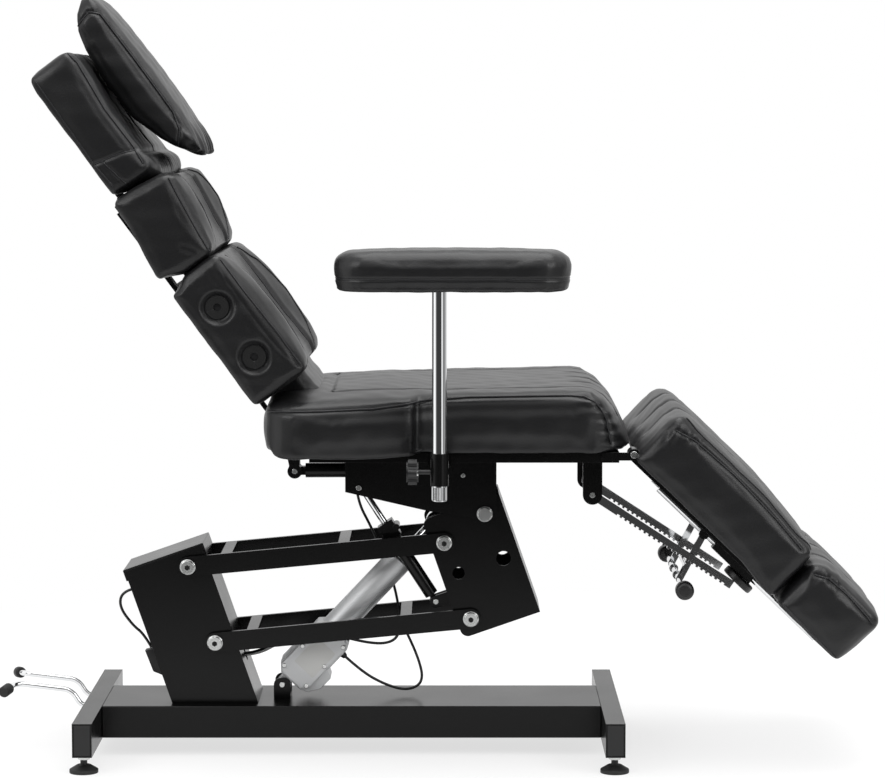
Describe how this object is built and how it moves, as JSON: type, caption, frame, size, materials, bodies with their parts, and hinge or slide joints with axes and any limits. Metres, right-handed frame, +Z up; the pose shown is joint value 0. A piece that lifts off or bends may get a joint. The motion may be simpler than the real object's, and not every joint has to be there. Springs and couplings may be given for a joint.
{
  "type": "tattoo chair",
  "caption": "Powered tattoo chair: padded seat, sectioned back with head pillow, ratchet leg rest and armrest on a parallelogram lift and H-shaped base.",
  "frame": {"origin": "mount floor_centre, the point of the floor on the chair's middle plane near the middle of its length", "axes": "+X along the chair from the head to the feet, +Y across, +Z up"},
  "size_m": [1.5372, 0.7714, 1.3397],
  "materials": {
    "black_paint": "black powder coat",
    "black_plastic": "moulded black",
    "black_rubber": "black rubber",
    "board": "plywood wrapped in black cloth",
    "cast": "cast aluminium, grey",
    "chrome": "bright chrome plate",
    "grey_sleeve": "grey braided sleeve",
    "silver_tube": "anodised tube",
    "vinyl": "black upholstery vinyl over foam",
    "zinc": "zinc plated steel"
  },
  "bodies": {
    "root": {"base_beam": "black_paint", "rear_cross_foot": "black_paint", "front_cross_foot": "black_paint", "foot_fittings": "black_plastic", "tower": "black_paint", "tower_cover": "black_paint", "control_box": "black_plastic", "base_pins": "zinc", "actuator_clevis": "black_paint", "pedal_bearings": "black_plastic", "rear_lead": "black_plastic", "motor_conduit": "grey_sleeve", "motor_lead": "black_plastic", "seat_lead": "black_plastic"},
    "lower_links": {"lower_link_frame": "black_paint"},
    "upper_links": {"upper_link_frame": "black_paint"},
    "column": {"column": "black_paint", "column_pins": "zinc"},
    "lift_actuator": {"gearbox_housing": "cast", "gearbox_cover": "cast", "lift_motor": "black_plastic", "lift_tube": "silver_tube"},
    "lift_rod": {"lift_rod": "chrome"},
    "tilt_cylinder": {"tilt_cylinder": "black_paint"},
    "tilt_rod": {"tilt_rod": "chrome"},
    "seat": {"seat_carrier": "black_paint", "seat_pins": "zinc", "seat_frame": "black_paint", "seat_brackets": "black_paint", "seat_board": "board", "seat_cushion": "vinyl"},
    "back": {"back_frame": "black_paint", "back_pins": "zinc", "back_boards": "board", "lumbar_cushion": "vinyl", "upper_back_cushion": "vinyl", "accessory_sockets": "black_paint"},
    "back_cylinder": {"back_cylinder": "black_paint"},
    "back_rod": {"back_rod": "chrome"},
    "head": {"head_frame": "black_paint", "head_cushion": "vinyl", "head_pillow": "vinyl"},
    "leg": {"leg_frame": "black_paint", "slide_guides": "black_paint", "leg_board": "board", "leg_cushion": "vinyl"},
    "racks": {"ratchet_racks": "chrome"},
    "catch": {"catch_handle": "chrome"},
    "extension": {"extension_rods": "chrome", "extension_board": "board", "extension_cushion": "vinyl"},
    "extension_knob": {"extension_knob": "black_plastic"},
    "pedal": {"pedal": "chrome"},
    "arm_post_right": {"arm_post_right": "chrome"},
    "arm_pad_right": {"arm_pad_right": "vinyl"},
    "arm_knob_right": {"arm_knob_right": "black_plastic"},
    "foot_rear_right": {"levelling_foot_rear_right": "black_rubber"},
    "foot_rear_left": {"levelling_foot_rear_left": "black_rubber"},
    "foot_front_right": {"levelling_foot_front_right": "black_rubber"},
    "foot_front_left": {"levelling_foot_front_left": "black_rubber"}
  },
  "joints": [
    {"name": "lift", "type": "hinge", "parent": "root", "child": "lower_links", "pos_m": [-0.406, 0, 0.2], "axis": [0, -1, 0], "range_deg": [-12, 20], "deforming": ["seat_lead"]},
    {"name": "upper_link_pivot", "type": "hinge", "parent": "root", "child": "upper_links", "pos_m": [-0.45336, 0, 0.33599], "axis": [0, -1, 0], "range_deg": [-12.5, 20.5]},
    {"name": "column_pivot", "type": "hinge", "parent": "lower_links", "child": "column", "pos_m": [0.04798, 0, 0.24291], "axis": [0, -1, 0], "range_deg": [-20.5, 12.5]},
    {"name": "actuator_pivot", "type": "hinge", "parent": "root", "child": "lift_actuator", "pos_m": [-0.29, 0, 0.115], "axis": [0, -1, 0], "range_deg": [-10.31, 16.84], "deforming": ["motor_conduit", "motor_lead"]},
    {"name": "actuator_stroke", "type": "slide", "parent": "lift_actuator", "child": "lift_rod", "axis": [0.6872, 0, 0.7265], "range_m": [-0.06306, 0.10444]},
    {"name": "seat_tilt", "type": "hinge", "parent": "column", "child": "seat", "pos_m": [0.07234, 0, 0.43141], "axis": [0, -1, 0], "range_deg": [0, 12]},
    {"name": "strut_pivot", "type": "hinge", "parent": "column", "child": "tilt_cylinder", "pos_m": [-0.01404, -0.038, 0.26897], "axis": [0, -1, 0], "range_deg": [-0.5, 8.42]},
    {"name": "strut_stroke", "type": "slide", "parent": "tilt_cylinder", "child": "tilt_rod", "axis": [-0.5452, 0, 0.8383], "range_m": [-0.03574, 0.001]},
    {"name": "recline", "type": "hinge", "parent": "seat", "child": "back", "pos_m": [-0.274, 0, 0.548], "axis": [0, -1, 0], "range_deg": [-20, 53.5]},
    {"name": "back_actuator_pivot", "type": "hinge", "parent": "back", "child": "back_cylinder", "pos_m": [-0.26632, 0, 0.49895], "axis": [0, -1, 0], "range_deg": [-58.03, 22.01]},
    {"name": "back_actuator_stroke", "type": "slide", "parent": "back_cylinder", "child": "back_rod", "axis": [1, 0, 0.0035], "range_m": [-0.04145, 0.01612]},
    {"name": "head_tilt", "type": "hinge", "parent": "back", "child": "head", "pos_m": [-0.56017, 0, 0.98686], "axis": [0, -1, 0], "range_deg": [0, 35]},
    {"name": "leg_lift", "type": "hinge", "parent": "seat", "child": "leg", "pos_m": [0.325, 0, 0.556], "axis": [0, -1, 0], "range_deg": [-5, 43.8]},
    {"name": "rack_pivot", "type": "hinge", "parent": "seat", "child": "racks", "pos_m": [0.261, 0, 0.469], "axis": [0, -1, 0], "range_deg": [-4.9, 39.04]},
    {"name": "catch_handle_pivot", "type": "hinge", "parent": "leg", "child": "catch", "pos_m": [0.45846, 0, 0.39754], "axis": [0, -1, 0], "range_deg": [-15, 0]},
    {"name": "leg_extension", "type": "slide", "parent": "leg", "child": "extension", "axis": [0.7218, 0, -0.6921], "range_m": [0, 0.15]},
    {"name": "extension_clamp", "type": "hinge", "parent": "leg", "child": "extension_knob", "pos_m": [0.5287, -0.07, 0.31909], "axis": [-0.6921, 0, -0.7218], "continuous": true},
    {"name": "pedal_rock", "type": "hinge", "parent": "root", "child": "pedal", "pos_m": [-0.623, 0, 0.079], "axis": [0, -1, 0], "range_deg": [-6, 6], "stiffness_Nm_per_rad": 4},
    {"name": "arm_height_right", "type": "slide", "parent": "seat", "child": "arm_post_right", "axis": [0, 0, 1], "range_m": [-0.16, 0.02]},
    {"name": "arm_swivel_right", "type": "hinge", "parent": "arm_post_right", "child": "arm_pad_right", "pos_m": [-0.007, -0.34, 0.85], "axis": [0, 0, 1], "range_deg": [-30, 90]},
    {"name": "arm_knob_turn_right", "type": "hinge", "parent": "seat", "child": "arm_knob_right", "pos_m": [-0.04, -0.34, 0.536], "axis": [-1, 0, 0], "continuous": true},
    {"name": "foot_screw_rear_right", "type": "hinge", "parent": "root", "child": "foot_rear_right", "pos_m": [-0.623, -0.233, 0.01], "axis": [0, 0, 1], "continuous": true},
    {"name": "foot_screw_rear_left", "type": "hinge", "parent": "root", "child": "foot_rear_left", "pos_m": [-0.623, 0.233, 0.01], "axis": [0, 0, 1], "continuous": true},
    {"name": "foot_screw_front_right", "type": "hinge", "parent": "root", "child": "foot_front_right", "pos_m": [0.296, -0.233, 0.01], "axis": [0, 0, 1], "continuous": true},
    {"name": "foot_screw_front_left", "type": "hinge", "parent": "root", "child": "foot_front_left", "pos_m": [0.296, 0.233, 0.01], "axis": [0, 0, 1], "continuous": true}
  ],
  "couplings": [
    {"joint": "upper_link_pivot", "follows": "lift", "ratio": 1},
    {"joint": "column_pivot", "follows": "lift", "ratio": -1},
    {"joint": "actuator_pivot", "follows": "lift", "ratio": 0.8171},
    {"joint": "actuator_stroke", "follows": "lift", "m_per_rad": 0.29633},
    {"joint": "strut_pivot", "follows": "seat_tilt", "ratio": 0.6604},
    {"joint": "strut_stroke", "follows": "seat_tilt", "m_per_rad": -0.16588},
    {"joint": "back_actuator_pivot", "follows": "recline", "ratio": -1.0754},
    {"joint": "back_actuator_stroke", "follows": "recline", "m_per_rad": -0.04332},
    {"joint": "rack_pivot", "follows": "leg_lift", "ratio": 0.88}
  ]
}
